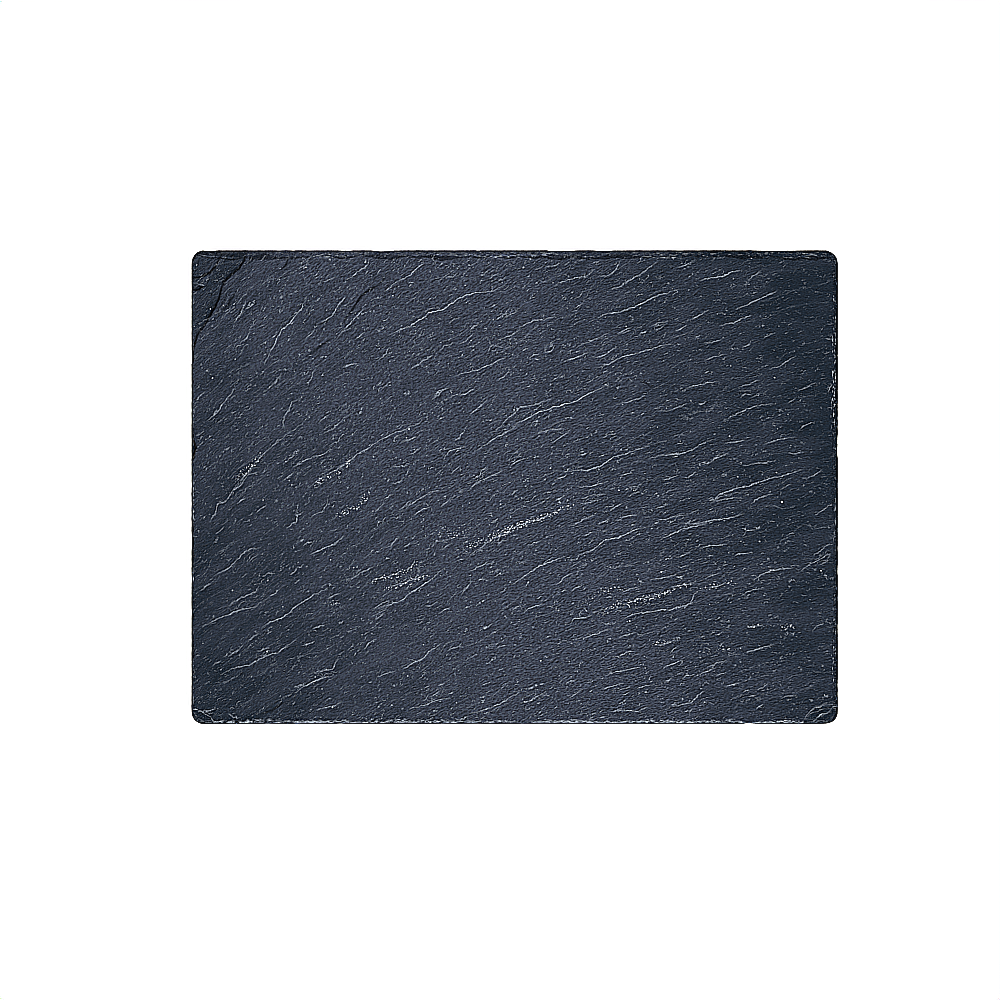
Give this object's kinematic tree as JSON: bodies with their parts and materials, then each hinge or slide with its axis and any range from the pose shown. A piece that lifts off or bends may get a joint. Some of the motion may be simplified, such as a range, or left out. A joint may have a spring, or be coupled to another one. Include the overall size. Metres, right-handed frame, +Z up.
{
  "type": "slate serving slab",
  "caption": "Thin rectangular slab of riven dark slate with rounded corners, a chipped rim and low ledges across its face, for serving food or as a plinth.",
  "frame": {"origin": "on the table, under the middle of the slab", "axes": "+X along the long side, to the right in the picture; +Y across the slab, to the top of the picture; +Z up out of the riven face"},
  "size_m": [0.3, 0.22, 0.005],
  "materials": {
    "slate": "riven dark blue-grey slate, matt with a faint sheen on the cleaved steps"
  },
  "bodies": {
    "root": {"slab": "slate"}
  },
  "joints": []
}
